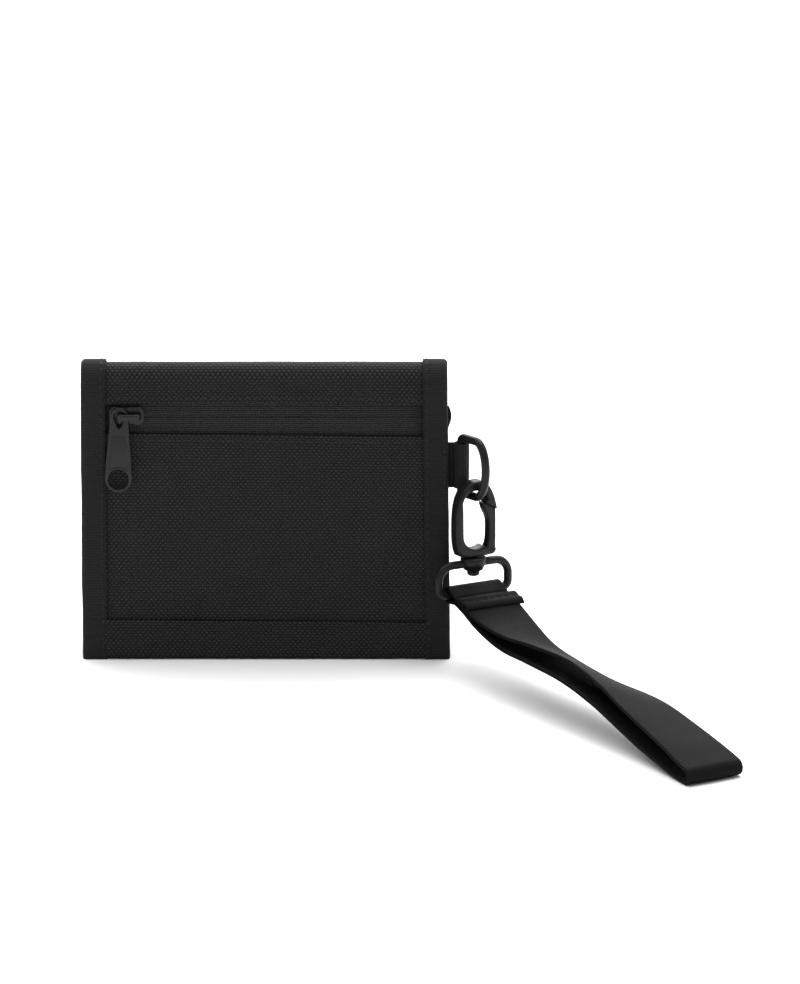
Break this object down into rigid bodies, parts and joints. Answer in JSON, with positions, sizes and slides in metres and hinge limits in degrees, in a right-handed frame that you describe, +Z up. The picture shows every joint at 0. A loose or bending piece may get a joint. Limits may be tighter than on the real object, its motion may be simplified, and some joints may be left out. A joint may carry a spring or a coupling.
{
  "type": "zippered wallet pouch",
  "caption": "Folding woven-nylon pouch that stands like a tent, with a zip pocket, a side D-ring, a swivel snap hook and a webbing wrist strap.",
  "frame": {"origin": "on the ground, at the middle of the zip half's hem: the middle of its width and of its thickness", "axes": "+X along the fold, to the right as seen from the zip side; +Y from the zip face towards the plain cover; +Z up"},
  "size_m": [0.2086, 0.1522, 0.101],
  "materials": {
    "canvas": "coarse woven nylon, matt black",
    "binding": "fine ribbed binding tape, matt black",
    "lining": "plain-weave nylon lining, black",
    "loop_pile": "soft loop pile, black",
    "hook_pile": "stiff hook pile, black",
    "zip_tape": "ribbed zip tape, black",
    "zip_coil": "nylon coil, black",
    "slider": "satin black paint on die-cast zinc",
    "webbing": "fine ribbed webbing with a slight sheen, black",
    "hardware": "satin moulded acetal, black"
  },
  "bodies": {
    "zip_half": {"upper_panel": "canvas", "zip_pocket_panel": "canvas", "zip_pocket_lining": "lining", "bill_sleeve_panel": "lining", "hem_band_zip_side": "canvas", "binding_left_zip_side": "binding", "binding_right_zip_side": "binding", "closure_loop_patch": "loop_pile", "fold_panel": "canvas", "binding_left_fold": "binding", "binding_right_fold": "binding", "zip_tape_upper": "zip_tape", "zip_tape_lower": "zip_tape", "zip_coil_upper": "zip_coil", "zip_coil_lower": "zip_coil", "d_ring_tab": "webbing"},
    "cover_half": {"cover_panel": "canvas", "cover_lining": "lining", "card_sleeve_panel": "lining", "card_slot_1": "lining", "card_slot_2": "lining", "hem_band_cover_side": "canvas", "binding_left_cover_side": "binding", "binding_right_cover_side": "binding", "closure_hook_patch": "hook_pile"},
    "slider": {"zip_slider": "slider"},
    "pull": {"pull_tab": "slider"},
    "ring": {"d_ring": "hardware"},
    "hook": {"hook_body": "hardware"},
    "gate": {"hook_gate": "hardware"},
    "swivel": {"swivel_ring": "hardware"},
    "strap": {"wrist_strap": "webbing"}
  },
  "joints": [
    {"name": "fold_open", "type": "hinge", "parent": "zip_half", "child": "cover_half", "pos_m": [0, 0.0028, 0.095], "axis": [1, 0, 0], "range_deg": [-6.5, 172], "deforming": ["fold_panel", "binding_left_fold", "binding_right_fold"]},
    {"name": "zip_slide", "type": "slide", "parent": "zip_half", "child": "slider", "axis": [1, 0, 0], "range_m": [0, 0.0895]},
    {"name": "pull_swing", "type": "hinge", "parent": "slider", "child": "pull", "pos_m": [-0.0473, -0.0041, 0.0833], "axis": [0, 1, 0], "range_deg": [-30, 90]},
    {"name": "d_ring_turn", "type": "hinge", "parent": "zip_half", "child": "ring", "pos_m": [0.0645, 0.0002, 0.066], "axis": [0, 0, 1], "range_deg": [-15, 75]},
    {"name": "hook_swing", "type": "hinge", "parent": "ring", "child": "hook", "pos_m": [0.06859, -0.00485, 0.0566], "axis": [0.6293, -0.7771, 0], "range_deg": [-40, 50]},
    {"name": "gate_press", "type": "hinge", "parent": "hook", "child": "gate", "pos_m": [0.07405, -0.0017, 0.0393], "axis": [0.5, -0.866, 0], "range_deg": [0, 20], "stiffness_Nm_per_rad": 0.01},
    {"name": "swivel_turn", "type": "hinge", "parent": "hook", "child": "swivel", "pos_m": [0.06859, -0.00485, 0.034], "axis": [0, 0, 1], "range_deg": [-12, 65]},
    {"name": "strap_swing", "type": "hinge", "parent": "swivel", "child": "strap", "pos_m": [0.06859, -0.00485, 0.0241], "axis": [0.8878, 0.4602, 0], "range_deg": [-60, 60]}
  ]
}
